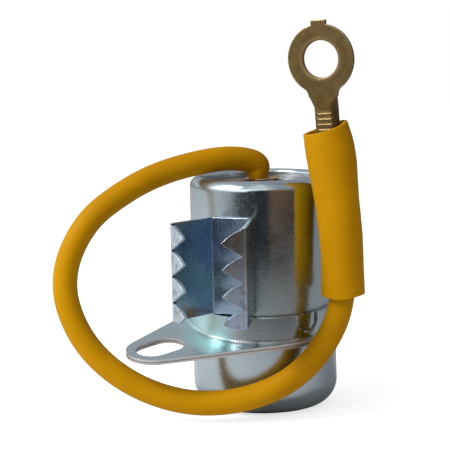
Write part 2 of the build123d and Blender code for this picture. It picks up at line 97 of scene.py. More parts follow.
def ramp(tree, value, stops):
    """A colour ramp: stops are (place, colour) pairs."""
    node = add(tree, "ShaderNodeValToRGB", {"Fac": value})
    elements = node.color_ramp.elements
    while len(elements) < len(stops):
        elements.new(0.5)
    for element, (place, colour) in zip(elements, stops):
        element.position = place
        element.color = colour
    return node.outputs["Color"]


def new_group(name, inputs, outputs):
    """A node group with those sockets. Returns its tree, the sockets that bring its inputs and the sockets that take
    its outputs."""
    tree = bpy.data.node_groups.new(name, "ShaderNodeTree")
    for label, (kind, value) in inputs.items():
        socket = tree.interface.new_socket(label, in_out="INPUT", socket_type="NodeSocket" + kind)
        socket.default_value = value
    for label, kind in outputs.items():
        tree.interface.new_socket(label, in_out="OUTPUT", socket_type="NodeSocket" + kind)
    entry = tree.nodes.new("NodeGroupInput")
    leave = tree.nodes.new("NodeGroupOutput")
    return tree, entry.outputs, leave.inputs


def use(tree, group, **values):
    """A group placed in a material. Words in its sockets' names are joined with an underscore here."""
    node = tree.nodes.new("ShaderNodeGroup")
    node.node_tree = group
    for label, value in values.items():
        feed(tree, node.inputs[label.replace("_", " ")], value)
    return node.outputs


# ================================================================ effects that several finishes share
def mottle_group():
    """Soft patches: fractal noise in object space, spread between two thresholds."""
    tree, given, out = new_group(
        "mottle",
        {"Patch Size": ("Float", 0.005), "Stretch": ("Vector", (1, 1, 1)), "Low": ("Float", 0.4),
         "High": ("Float", 0.6), "Roughness": ("Float", 0.55), "Shift": ("Vector", (0, 0, 0))},
        {"Mask": "Float"},
    )
    place = add(tree, "ShaderNodeTexCoord").outputs["Object"]
    place = add(tree, "ShaderNodeVectorMath", {0: place, 1: given["Shift"]}, operation="ADD").outputs[0]
    place = add(tree, "ShaderNodeVectorMath", {0: place, 1: given["Stretch"]}, operation="MULTIPLY").outputs[0]
    scale = maths(tree, "DIVIDE", 1.0, given["Patch Size"])
    settings = {"Vector": place, "Scale": scale, "Detail": 5.0, "Roughness": given["Roughness"]}
    noise = add(tree, "ShaderNodeTexNoise", settings).outputs["Fac"]
    tree.links.new(span(tree, noise, given["Low"], given["High"]), out["Mask"])
    return tree


def speckle_group():
    """Small dots of differing strength: the cells of a Voronoi pattern, each kept or dropped by its own random
    value."""
    tree, given, out = new_group(
        "speckle",
        {"Grain Size": ("Float", 0.0003), "Share": ("Float", 0.3), "Dot": ("Float", 0.35)},
        {"Mask": "Float"},
    )
    place = add(tree, "ShaderNodeTexCoord").outputs["Object"]
    scale = maths(tree, "DIVIDE", 1.0, given["Grain Size"])
    cells = add(tree, "ShaderNodeTexVoronoi", {"Vector": place, "Scale": scale, "Randomness": 1.0})
    near = span(tree, cells.outputs["Distance"], 0.0, given["Dot"], 1.0, 0.0)
    split = add(tree, "ShaderNodeSeparateColor", {"Color": cells.outputs["Color"]})
    kept = maths(tree, "LESS_THAN", split.outputs[0], given["Share"])
    strength = span(tree, split.outputs[1], 0.0, 1.0, 0.35, 1.0)
    tree.links.new(maths(tree, "MULTIPLY", maths(tree, "MULTIPLY", near, kept), strength), out["Mask"])
    return tree


def edge_group():
    """Where a sheet's edge is: the rounded normal of the Bevel node set against the plain one."""
    tree, given, out = new_group(
        "worn and highlit edge",
        {"Width": ("Float", 0.00015), "Low": ("Float", 0.002), "High": ("Float", 0.08)},
        {"Mask": "Float", "Normal": "Vector"},
    )
    rounded = add(tree, "ShaderNodeBevel", {"Radius": given["Width"]}, samples=6).outputs["Normal"]
    plain = add(tree, "ShaderNodeNewGeometry").outputs["Normal"]
    same = add(tree, "ShaderNodeVectorMath", {0: rounded, 1: plain}, operation="DOT_PRODUCT").outputs["Value"]
    away = maths(tree, "SUBTRACT", 1.0, same)
    tree.links.new(span(tree, away, given["Low"], given["High"]), out["Mask"])
    tree.links.new(rounded, out["Normal"])
    return tree


def crevice_group():
    """Where two walls meet: the share of the sky that walls closer than the reach hide from a point."""
    tree, given, out = new_group(
        "crevice", {"Reach": ("Float", 0.0006), "Low": ("Float", 0.3), "High": ("Float", 0.8)}, {"Mask": "Float"}
    )
    seen = add(tree, "ShaderNodeAmbientOcclusion", {"Distance": given["Reach"]}, samples=8).outputs["AO"]
    hidden = maths(tree, "SUBTRACT", 1.0, seen)
    tree.links.new(span(tree, hidden, given["Low"], given["High"]), out["Mask"])
    return tree


MOTTLE = mottle_group()
SPECKLE = speckle_group()
EDGE = edge_group()
CREVICE = crevice_group()


# ================================================================ finishes
ZINC_PIT = (0.07, 0.06, 0.06, 1)
ZINC_WORN_AND_HIGHLIT = (0.8, 0.84, 0.86, 1)
ZINC_CREVICE_SHADE = (0.03, 0.05, 0.05, 1)
ZINC_GRAIN_ROUGHNESS = 0.38
PVC_PIT = (0.16, 0.07, 0.004, 1)
PVC_GLOW = (1.0, 0.45, 0.08)
BRASS_SIDE_DARK = (0.05, 0.036, 0.014, 1)
BRASS_CREVICE_SHADE = (0.03, 0.015, 0.005, 1)


def finish(name, **plain):
    """A new material with a Principled BSDF. plain sets the sockets that are the same all over."""
    material = bpy.data.materials.new(name)
    material.use_nodes = True
    tree = material.node_tree
    tree.nodes.clear()
    shader = tree.nodes.new("ShaderNodeBsdfPrincipled")
    output = tree.nodes.new("ShaderNodeOutputMaterial")
    tree.links.new(shader.outputs["BSDF"], output.inputs["Surface"])
    for label, value in plain.items():
        shader.inputs[label.replace("_", " ")].default_value = value
    return material, tree, shader


def bumped(tree, height, depth, normal=None):
    """The normal of a surface raised by height (0 to 1) times depth, in metres."""
    sockets = {"Height": height, "Distance": depth, "Strength": 1.0}
    if normal is not None:
        sockets["Normal"] = normal
    return add(tree, "ShaderNodeBump", sockets).outputs["Normal"]


def place_along(tree, direction):
    """How far a point lies along a direction from the origin, in metres."""
    place = add(tree, "ShaderNodeTexCoord").outputs["Object"]
    return add(tree, "ShaderNodeVectorMath", {0: place, 1: direction}, operation="DOT_PRODUCT").outputs["Value"]


def zinc(name, light, dark, tints=(), dull=(), grain=1.0, edge=0.00012, shine=0.5, rough=(0.12, 0.18), seed=0.0):
    """Bright zinc plate: two metal tints in soft clouds, a skin of dull grains that sparkles, pits, pale edges that
    are partly rubbed wear and partly painted highlight, and painted shade in the joints.

    tints are (share, colour) pairs and dull are (share, roughness) pairs. Each share(tree) says where on the piece
    that colour or roughness takes over. grain scales the pits, the dull grains and the bump, and shine the pale
    edges. edge is how wide edges and folds look, or the function that says so. seed shifts the clouds."""
    material, tree, shader = finish(name, Metallic=1.0)
    shift = (seed, seed * 0.7, seed * 1.3)
    clouds = use(tree, MOTTLE, Patch_Size=0.012, Low=0.3, High=0.75, Roughness=0.45, Shift=shift)["Mask"]
    colour = blend_colours(tree, clouds, light, dark)
    for share, tint in tints:
        colour = blend_colours(tree, share(tree), colour, tint)
    pits = use(tree, SPECKLE, Grain_Size=0.00026, Share=0.25, Dot=0.5)["Mask"]
    colour = blend_colours(tree, maths(tree, "MULTIPLY", pits, 0.5 * grain), colour, ZINC_PIT)
    # pale edges and folds: partly rubbed wear, partly painted highlight
    rim = use(tree, EDGE, Width=edge(tree) if callable(edge) else edge)
    colour = blend_colours(tree, maths(tree, "MULTIPLY", rim["Mask"], shine), colour, ZINC_WORN_AND_HIGHLIT)
    # painted shade: the colour darkens where walls close in and hide the sky, as in the gap between can and collar
    joint = use(tree, CREVICE, Reach=0.0008, Low=0.35, High=0.75)["Mask"]
    colour = blend_colours(tree, maths(tree, "MULTIPLY", joint, 0.85), colour, ZINC_CREVICE_SHADE)
    tree.links.new(colour, shader.inputs["Base Color"])
    stain = use(tree, MOTTLE, Patch_Size=0.004, Low=0.35, High=0.7, Shift=shift)["Mask"]
    roughness = span(tree, stain, 0.0, 1.0, *rough)
    for share, value in dull:
        roughness = span(tree, share(tree), 0.0, 1.0, roughness, value)
    grains = use(tree, SPECKLE, Grain_Size=0.00014, Share=0.6 * grain, Dot=0.7)["Mask"]
    roughness = span(tree, grains, 0.0, 1.0, roughness, ZINC_GRAIN_ROUGHNESS)
    tree.links.new(roughness, shader.inputs["Roughness"])
    skin = use(tree, MOTTLE, Patch_Size=0.00026, Low=0.25, High=0.75, Roughness=0.5, Shift=shift)["Mask"]
    tree.links.new(bumped(tree, skin, 0.0000028 * grain, rim["Normal"]), shader.inputs["Normal"])
    return material


def lead_plastic(name, bright, deep, rough=(0.42, 0.55)):
    """Soft yellow PVC: two near tints in wide patches, small dull patches and a few dark pits."""
    material, tree, shader = finish(name, Subsurface_Weight=0.04, Subsurface_Scale=0.0008)
    shader.inputs["Subsurface Radius"].default_value = PVC_GLOW
    shader.inputs["IOR"].default_value = 1.5
    shader.inputs["Specular IOR Level"].default_value = 0.05
    patches = use(tree, MOTTLE, Patch_Size=0.011, Low=0.35, High=0.7)["Mask"]
    colour = blend_colours(tree, patches, bright, deep)
    specks = use(tree, SPECKLE, Grain_Size=0.0016, Share=0.05, Dot=0.13)["Mask"]
    colour = blend_colours(tree, maths(tree, "MULTIPLY", specks, 0.5), colour, PVC_PIT)
    tree.links.new(colour, shader.inputs["Base Color"])
    cloud = use(tree, MOTTLE, Patch_Size=0.0016, Low=0.3, High=0.75)["Mask"]
    tree.links.new(span(tree, cloud, 0.0, 1.0, *rough), shader.inputs["Roughness"])
    tree.links.new(bumped(tree, cloud, 0.000008), shader.inputs["Normal"])
    return material


def brass(name, face, shade, bright_edge, tints=(), sides=None, rough=(0.34, 0.5), edge=0.00016, metal=1.0):
    """Dull brass: two tints in patches, fine grit, painted shade in its joints, edges gold from wear and painted
    highlight.

    tints are (share, colour) pairs: share(tree) says where on the piece that colour takes over. sides(tree) says
    where the metal was sheared; the colour there is made darker than on the faces and their edges."""
    material, tree, shader = finish(name, Metallic=metal)
    patches = use(tree, MOTTLE, Patch_Size=0.0024, Low=0.35, High=0.65)["Mask"]
    colour = blend_colours(tree, patches, face, shade)
    for share, tint in tints:
        colour = blend_colours(tree, share(tree), colour, tint)
    grit = use(tree, MOTTLE, Patch_Size=0.0004, Low=0.3, High=0.75)["Mask"]
    colour = blend_colours(tree, maths(tree, "MULTIPLY", grit, 0.45), colour, shade)
    # gold edges: partly rubbed wear, partly painted highlight
    rim = use(tree, EDGE, Width=edge)
    colour = blend_colours(tree, maths(tree, "MULTIPLY", rim["Mask"], 0.75), colour, bright_edge)
    if sides:
        colour = blend_colours(tree, sides(tree), colour, BRASS_SIDE_DARK)
    # painted shade where walls close in, as where the barrel meets the ring
    joint = use(tree, CREVICE, Reach=0.0006, Low=0.3, High=0.8)["Mask"]
    colour = blend_colours(tree, maths(tree, "MULTIPLY", joint, 0.8), colour, BRASS_CREVICE_SHADE)
    tree.links.new(colour, shader.inputs["Base Color"])
    tree.links.new(span(tree, patches, 0.0, 1.0, *rough), shader.inputs["Roughness"])
    tree.links.new(bumped(tree, grit, 0.000006, rim["Normal"]), shader.inputs["Normal"])
    return material


def plain_stuff(name, colour, second, metallic=0.0, rough=0.6):
    """A hidden piece's stuff: two tints in patches and a slight grain."""
    material, tree, shader = finish(name, Metallic=metallic)
    patches = use(tree, MOTTLE, Patch_Size=0.002)["Mask"]
    tree.links.new(blend_colours(tree, patches, colour, second), shader.inputs["Base Color"])
    tree.links.new(span(tree, patches, 0.0, 1.0, rough, rough + 0.12), shader.inputs["Roughness"])
    tree.links.new(bumped(tree, patches, 0.00001), shader.inputs["Normal"])
    return material


# ================================================================ where on a piece a finish changes
# directions from the can's axis, and lengths in metres
EAR_OUTWARD = (-0.777, -0.629, 0.0)
WORN_SIDE = (-0.77, -0.64, 0.0)
COLLAR_FRONT = (0.05, -0.998, 0.0)
CLIP_OUTWARD = (-0.4067, -0.9135, 0.0)
RIGHT_ARM_OUTSIDE = (0.995, -0.1, 0.0)
LEFT_LIP_OUTWARD = (-0.81, -0.59, 0.0)
RIGHT_LIP_OUTWARD = (0.1, -0.99, 0.0)
# the plate's slope, and how far along it the shear line lies
PLATE_NORMAL = (0.0, -0.19595, 0.98061)
SHEAR_HEIGHT = 0.01288
# the punched stake in the collar: its direction, the way across it, its height, its radius and how far it reaches in
STAKE_OUTWARD = (0.5505, -0.8348, 0.0)
STAKE_ACROSS = (0.8348, 0.5505, 0.0)
STAKE_CENTRE = 0.01433
STAKE_RADIUS = 0.00155
STAKE_SIDE = 0.0095
# the ring terminal's hole, and the way its front face looks
HOLE_CENTRE = (0.00869, -0.01075, 0.0519)
RING_NORMAL = (-0.4066, -0.9133, -0.0234)


def near_bend(tree):
    """1 on the ear's root beside the collar, fading to 0 round the collar and further out, in uneven patches."""
    outward = place_along(tree, EAR_OUTWARD)
    near = span(tree, outward, 0.0145, 0.0175, 1.0, 0.0)
    past = span(tree, outward, 0.007, 0.0115)
    patches = use(tree, MOTTLE, Patch_Size=0.006, Low=0.3, High=0.6, Roughness=0.4)["Mask"]
    return maths(tree, "MULTIPLY", maths(tree, "MULTIPLY", near, past), patches)


def from_axis(tree):
    """How far a point is from the can's axis, in metres."""
    place = add(tree, "ShaderNodeTexCoord").outputs["Object"]
    flat = add(tree, "ShaderNodeVectorMath", {0: place, 1: (1.0, 1.0, 0.0)}, operation="MULTIPLY").outputs[0]
    return add(tree, "ShaderNodeVectorMath", {0: flat}, operation="LENGTH").outputs["Value"]


def worn_left(tree):
    """1 down the can's left side, where the plate is duller, fading to 0 towards the front and the back."""
    turned = maths(tree, "DIVIDE", place_along(tree, WORN_SIDE), from_axis(tree))
    return span(tree, turned, 0.8, 0.95)


def worn_waist(tree):
    """1 on the can just above the bracket, fading to 0 half way up."""
    return span(tree, place_along(tree, UP), 0.016, 0.027, 1.0, 0.0)


def worn_foot(tree):
    """1 on the can below the bracket, 0 above it."""
    return span(tree, place_along(tree, UP), 0.0105, 0.013, 1.0, 0.0)


def collar_wall(tree):
    """1 on the can and the collar round it, 0 on the plate and the ear."""
    return span(tree, from_axis(tree), 0.01172, 0.01185, 1.0, 0.0)


def on_collar(tree):
    """1 on the front of the collar, 0 on the plate and the ear."""
    front = span(tree, place_along(tree, COLLAR_FRONT), 0.0095, 0.0115)
    return maths(tree, "MULTIPLY", collar_wall(tree), front)


def along_stake(tree, radius, half_width):
    """0.8 along a U in the collar, at a radius from the stake's centre: straight sides from the rim down, then a
    half circle. It fades to 0 at half the line's width from its middle."""
    sideways = place_along(tree, STAKE_ACROSS)
    below = maths(tree, "MINIMUM", maths(tree, "SUBTRACT", place_along(tree, UP), STAKE_CENTRE), 0.0)
    squares = maths(tree, "ADD", maths(tree, "POWER", sideways, 2.0), maths(tree, "POWER", below, 2.0))
    away = maths(tree, "ABSOLUTE", maths(tree, "SUBTRACT", maths(tree, "POWER", squares, 0.5), radius))
    line = span(tree, away, 0.4 * half_width, half_width, 0.8, 0.0)
    side = maths(tree, "GREATER_THAN", place_along(tree, STAKE_OUTWARD), STAKE_SIDE)
    return maths(tree, "MULTIPLY", maths(tree, "MULTIPLY", line, side), collar_wall(tree))


def stake_groove_shade(tree):
    """0.8 in the groove that the punch left in the collar, where its shade is painted dark."""
    return along_stake(tree, STAKE_RADIUS, 0.00022)


def stake_burr_highlight(tree):
    """0.8 on the burr outside the groove, less on its right, in short runs: a painted highlight, stronger on the
    left.
    """
    left = span(tree, place_along(tree, STAKE_ACROSS), -0.0012, 0.0012, 1.0, 0.3)
    breaks = use(tree, MOTTLE, Patch_Size=0.0007, Low=0.4, High=0.58, Roughness=0.5)["Mask"]
    burr = along_stake(tree, STAKE_RADIUS + 0.0003, 0.00016)
    return maths(tree, "MULTIPLY", maths(tree, "MULTIPLY", burr, left), breaks)


def fold_width(tree):
    """How wide the bracket's edges look: more at the fold between collar and plate than at the cut edges. The pale
    band painted along them, partly wear and partly highlight, widens with it.
    """
    low = span(tree, place_along(tree, PLATE_NORMAL), 0.0142, 0.0146, 0.0006, 0.00014)
    inner = span(tree, from_axis(tree), 0.0121, 0.0124, 1.0, 0.0)
    return maths(tree, "ADD", maths(tree, "MULTIPLY", low, inner), 0.00002)


def on_cut_edge(tree):
    """1 on the sheared edge of the plate and its slot: faces beside the plate's slope and off the collar."""
    normal = add(tree, "ShaderNodeNewGeometry").outputs["Normal"]
    slope = add(tree, "ShaderNodeVectorMath", {0: normal, 1: PLATE_NORMAL}, operation="DOT_PRODUCT").outputs["Value"]
    upright = span(tree, maths(tree, "ABSOLUTE", slope), 0.3, 0.7, 1.0, 0.0)
    return maths(tree, "MULTIPLY", upright, span(tree, from_axis(tree), 0.01175, 0.0119))


def shear_line(tree):
    """1 on the thin line half way down the sheared edge, where the cut turned into a break."""
    from_line = maths(tree, "ABSOLUTE", maths(tree, "SUBTRACT", place_along(tree, PLATE_NORMAL), SHEAR_HEIGHT))
    return maths(tree, "MULTIPLY", on_cut_edge(tree), span(tree, from_line, 0.00004, 0.00012, 1.0, 0.0))


def deep_in_clip(tree):
    """1 on the clip's back wall, fading to 0 at the toothed lips."""
    outward = place_along(tree, CLIP_OUTWARD)
    return span(tree, outward, 0.0165, 0.0195, 1.0, 0.0)


def blue_in_clip(tree):
    """0.6 in uneven patches on the clip's inner walls, where the plate is blue."""
    patches = use(tree, MOTTLE, Patch_Size=0.008, Low=0.4, High=0.6, Shift=(0.01, 0, 0))["Mask"]
    return maths(tree, "MULTIPLY", deep_in_clip(tree), maths(tree, "MULTIPLY", patches, 0.6))


def outside_clip(tree):
    """1 on the outer face of the clip's right arm."""
    return span(tree, place_along(tree, RIGHT_ARM_OUTSIDE), -0.0005, -0.0003)


def left_lip(tree):
    """1 on the clip's left lip."""
    return span(tree, place_along(tree, LEFT_LIP_OUTWARD), 0.01885, 0.01925)


def right_lip(tree):
    """1 on the clip's right lip, from its upper teeth down."""
    outward = span(tree, place_along(tree, RIGHT_LIP_OUTWARD), 0.0208, 0.0214)
    return maths(tree, "MULTIPLY", outward, span(tree, place_along(tree, UP), 0.018, 0.028, 1.0, 0.0))


def lip_marks(tree):
    """0.75 in the scuffs on the two lips, in small uneven patches."""
    lips = maths(tree, "MAXIMUM", left_lip(tree), right_lip(tree))
    patches = use(tree, MOTTLE, Patch_Size=0.0011, Low=0.45, High=0.72, Roughness=0.6)["Mask"]
    return maths(tree, "MULTIPLY", maths(tree, "MULTIPLY", lips, patches), 0.75)


def away_from_hole(tree):
    """How far a point is from the middle of the ring's hole, in metres."""
    place = add(tree, "ShaderNodeTexCoord").outputs["Object"]
    return add(tree, "ShaderNodeVectorMath", {0: place, 1: HOLE_CENTRE}, operation="DISTANCE").outputs["Value"]


def hole_rim_highlight(tree):
    """0.55 in a narrow band round the ring's hole, painted lighter as the highlight on its rounded rim."""
    return maths(tree, "MULTIPLY", span(tree, away_from_hole(tree), 0.0029, 0.0034, 1.0, 0.0), 0.55)


def ring_tarnish(tree):
    """0.7 in the brown stains on the terminal."""
    stretch = (1.0, 1.0, 0.6)
    stains = use(tree, MOTTLE, Patch_Size=0.0013, Stretch=stretch, Low=0.42, High=0.66, Roughness=0.6)["Mask"]
    return maths(tree, "MULTIPLY", stains, 0.7)


def ring_sides(tree):
    """0.85 on the sheared sides of the ring and its nib, 0 on the two faces and on the barrel below."""
    normal = add(tree, "ShaderNodeNewGeometry").outputs["True Normal"]
    facing = add(tree, "ShaderNodeVectorMath", {0: normal, 1: RING_NORMAL}, operation="DOT_PRODUCT").outputs["Value"]
    sheared = span(tree, maths(tree, "ABSOLUTE", facing), 0.3, 0.6, 0.85, 0.0)
    outer = span(tree, away_from_hole(tree), 0.0027, 0.0032)
    high = span(tree, place_along(tree, UP), 0.0455, 0.0475)
    return maths(tree, "MULTIPLY", maths(tree, "MULTIPLY", sheared, high), outer)


def on_barrel(tree):
    """1 on the crimped barrel, in streaks across it."""
    low = span(tree, place_along(tree, UP), 0.0458, 0.0478, 1.0, 0.0)
    streaks = use(tree, MOTTLE, Patch_Size=0.0016, Stretch=(0.6, 0.6, 3.5), Low=0.35, High=0.6)["Mask"]
    return maths(tree, "MULTIPLY", low, streaks)


# ================================================================ the pieces' finishes
CAN_ZINC = zinc(
    "can zinc", (0.5, 0.585, 0.61, 1), (0.46, 0.53, 0.57, 1),
    dull=[(worn_left, 0.3), (worn_waist, 0.27), (worn_foot, 0.22)], shine=0.4,
)
LID_METAL = zinc("lid metal", (0.4, 0.365, 0.33, 1), (0.27, 0.24, 0.22, 1), rough=(0.24, 0.4), grain=1.3)
BRACKET_ZINC = zinc(
    "bracket zinc", (0.5, 0.61, 0.62, 1), (0.46, 0.56, 0.58, 1),
    # painted light in these tints: the pale cyan on the ear's root is partly the plating's tint and partly painted
    # highlight, and the collar's front is darkened as a painted dark reflection
    tints=[(near_bend, (0.52, 0.72, 0.72, 1)), (on_collar, (0.31, 0.33, 0.34, 1)),
           (on_cut_edge, (0.64, 0.64, 0.65, 1)), (shear_line, (0.25, 0.24, 0.24, 1)),
           # the stake's groove is painted dark as its shade, and the burr beside it pale as a painted highlight
           (stake_groove_shade, (0.03, 0.045, 0.04, 1)), (stake_burr_highlight, (0.8, 0.84, 0.78, 1))],
    dull=[(near_bend, 0.34), (on_cut_edge, 0.6), (stake_burr_highlight, 0.6)], edge=fold_width, shine=0.6, seed=0.02,
)
CLIP_ZINC = zinc(
    "clip zinc", (0.52, 0.53, 0.56, 1), (0.46, 0.48, 0.52, 1),
    # painted light: the lips are tinted paler as the light they catch, and the right arm's outer face darker as its
    # shade
    tints=[(deep_in_clip, (0.41, 0.56, 0.61, 1)), (blue_in_clip, (0.34, 0.43, 0.67, 1)),
           (outside_clip, (0.2, 0.27, 0.31, 1)), (left_lip, (0.68, 0.83, 0.93, 1)),
           (right_lip, (0.66, 0.81, 1.0, 1)), (lip_marks, (0.3, 0.34, 0.38, 1))],
    dull=[(left_lip, 0.42), (right_lip, 0.32)],
    grain=1.2, edge=0.00008, shine=0.35, rough=(0.18, 0.26), seed=0.04,
)
LEAD_YELLOW = lead_plastic("lead yellow", (0.58, 0.275, 0.0012, 1), (0.5, 0.23, 0.001, 1))
SLEEVE_YELLOW = lead_plastic("sleeve yellow", (0.59, 0.28, 0.001, 1), (0.52, 0.24, 0.001, 1), rough=(0.46, 0.58))
TERMINAL_BRASS = brass(
    "terminal brass", (0.225, 0.155, 0.052, 1), (0.12, 0.08, 0.024, 1), (0.78, 0.6, 0.27, 1),
    # the band round the hole is painted lighter as a highlight
    tints=[(ring_tarnish, (0.12, 0.07, 0.026, 1)), (hole_rim_highlight, (0.36, 0.24, 0.11, 1)),
           (on_barrel, (0.15, 0.08, 0.02, 1))],
    sides=ring_sides, rough=(0.36, 0.5), edge=0.0002, metal=0.7,
)
EYELET_BRASS = brass("eyelet brass", (0.62, 0.45, 0.2, 1), (0.36, 0.22, 0.1, 1), (0.95, 0.8, 0.5, 1))
FIBRE = plain_stuff("brown fibre", (0.12, 0.06, 0.03, 1), (0.07, 0.035, 0.02, 1))

FINISHES = {
    "can": CAN_ZINC,
    "lid": LID_METAL,
    "insulating_bush": FIBRE,
    "eyelet": EYELET_BRASS,
    "gasket": plain_stuff("gasket rubber", (0.02, 0.02, 0.02, 1), (0.035, 0.033, 0.03, 1), rough=0.7),
    "insulating_washer": plain_stuff("pressboard", (0.3, 0.2, 0.11, 1), (0.24, 0.15, 0.08, 1), rough=0.8),
    "contact_plate": plain_stuff("contact bronze", (0.72, 0.5, 0.26, 1), (0.6, 0.4, 0.2, 1), metallic=1.0, rough=0.3),
    "solder_joint": plain_stuff("solder", (0.62, 0.62, 0.62, 1), (0.5, 0.5, 0.5, 1), metallic=1.0, rough=0.3),
    "top_end_spray": plain_stuff("sprayed zinc", (0.5, 0.5, 0.5, 1), (0.36, 0.36, 0.36, 1), metallic=1.0),
    "winding": plain_stuff("wound film", (0.65, 0.66, 0.68, 1), (0.55, 0.56, 0.6, 1), metallic=1.0, rough=0.2),
    "winding_core": plain_stuff("core plastic", (0.8, 0.8, 0.74, 1), (0.72, 0.72, 0.66, 1), rough=0.4),
    "winding_wrap": plain_stuff("wrap tape", (0.7, 0.5, 0.08, 1), (0.6, 0.42, 0.06, 1), rough=0.2),
    "liner": plain_stuff("liner paper", (0.5, 0.38, 0.24, 1), (0.42, 0.31, 0.19, 1), rough=0.8),
    "bracket": BRACKET_ZINC,
    "clip": CLIP_ZINC,
    "lead_wire": plain_stuff("copper", (0.72, 0.33, 0.2, 1), (0.6, 0.26, 0.15, 1), metallic=1.0, rough=0.3),
    "lead_insulation": LEAD_YELLOW,
    "terminal_sleeve": SLEEVE_YELLOW,
    "ring_terminal": TERMINAL_BRASS,
}
FINISHES["bottom_end_spray"] = FINISHES["top_end_spray"]
FINISHES["contact_spring"] = FINISHES["contact_plate"]
for part, material in FINISHES.items():
    for place in parts[part].material_slots:
        place.material = material


# ================================================================ the lead
LEAD_RADIUS = 1.8 * MM
# the centreline in mm, with the share of the full radius at each point: the lead is pinched where the eyelet grips it
LEAD_ROUTE = [
    (0.0, 0.0, 31.85, 0.56),
    (-0.15, -0.05, 33.6, 0.62),
    (-0.6, -0.2, 34.8, 0.88),
    (-0.35, -0.1, 36.35, 0.99),
    (-3.3, -1.3, 37.25, 1.0),
    (-7.2, -2.9, 37.3, 1.0),
    (-14.1, -5.0, 35.9, 1.0),
    (-19.6, -6.9, 33.5, 1.0),
    (-25.9, -9.0, 29.0, 1.0),
    (-29.4, -10.3, 20.8, 1.0),
    (-26.8, -11.4, 12.4, 1.0),
    (-20.5, -12.1, 6.2, 1.0),
    (-11.9, -12.8, 2.9, 1.0),
    (-3.2, -13.3, 3.2, 1.0),
    (4.9, -13.1, 6.6, 1.0),
    (10.6, -11.8, 13.8, 1.0),
    (11.7, -11.2, 21.8, 1.0),
    (11.0, -10.9, 29.0, 1.0),
    (10.01, -10.0, 34.75, 1.0),
    (9.67, -10.0, 40.64, 1.0),
]


def lead():
    """The lead: a round tube along a smooth spline of order 3, with the route's points as its control points. At
    each point the tube has that point's share of the full radius."""
    curve = bpy.data.curves.new("lead", "CURVE")
    curve.dimensions = "3D"
    curve.bevel_depth = LEAD_RADIUS
    curve.bevel_resolution = 10
    curve.resolution_u = 24
    curve.use_fill_caps = True
    spline = curve.splines.new("NURBS")
    spline.points.add(len(LEAD_ROUTE) - 1)
    for point, (x, y, z, share) in zip(spline.points, LEAD_ROUTE):
        point.co = (x * MM, y * MM, z * MM, 1.0)
        point.radius = share
    spline.order_u = 3
    spline.use_endpoint_u = True
    piece = bpy.data.objects.new("lead", curve)
    scene.collection.objects.link(piece)
    curve.materials.append(LEAD_YELLOW)
    return piece


# the sleeve in mm: height, centre across and in depth, half width and half depth of its outside
SLEEVE_STATIONS = np.array([
    (14.0, 11.07, -11.5, 3.17, 3.1),
    (18.3, 11.35, -11.45, 3.12, 3.11),
    (19.8, 11.36, -11.39, 3.1, 3.11),
    (22.9, 11.35, -11.22, 3.05, 3.1),
    (25.9, 11.16, -11.0, 3.12, 3.08),
    (29.0, 10.97, -10.75, 3.16, 3.06),
    (32.0, 10.7, -10.51, 3.3, 3.04),
    (35.1, 10.27, -10.28, 3.48, 3.02),
    (36.6, 10.06, -10.18, 3.59, 3.01),
    (38.2, 9.98, -10.09, 3.67, 3.0),
    (39.7, 9.77, -10.01, 3.68, 3.0),
    (41.2, 9.47, -9.95, 3.56, 2.99),
    (42.75, 9.14, -9.9, 3.36, 2.99),
    (45.0, 8.67, -9.86, 2.98, 2.99),
])
SLEEVE_DEGREE = 7
# the wall's thickness in mm, and how far the two ends swell beyond their cuts
SLEEVE_WALL = 0.55
SLEEVE_BULGE = SLEEVE_WALL / 5
# the oval on which the slants of the cuts are reckoned, in mm, and the ways its width and its depth lie
SLEEVE_HALF_WIDTH, SLEEVE_HALF_DEPTH = 3.2, 3.0
SLEEVE_ACROSS = (0.913, -0.408)
SLEEVE_BEHIND = (0.408, 0.913)
SLEEVE_COLUMNS, SLEEVE_ROWS, SLEEVE_END_ROWS = 112, 90, 8


def mesh_grid(name, points, material):
    """A piece from an array of points, rows by columns, that closes on itself both ways."""
    rows, columns = points.shape[:2]
    row = np.arange(rows)[:, None]
    column = np.arange(columns)[None, :]
    below, beside = (row + 1) % rows, (column + 1) % columns
    corners = [row * columns + column, row * columns + beside, below * columns + beside, below * columns + column]
    quads = np.stack(np.broadcast_arrays(*corners), -1).reshape(-1, 4)
    mesh = bpy.data.meshes.new(name)
    mesh.from_pydata(points.reshape(-1, 3) * MM, [], quads.tolist())
    mesh.polygons.foreach_set("use_smooth", np.ones(len(quads), dtype=bool))
    mesh.materials.append(material)
    piece = bpy.data.objects.new(name, mesh)
    scene.collection.objects.link(piece)
    return piece


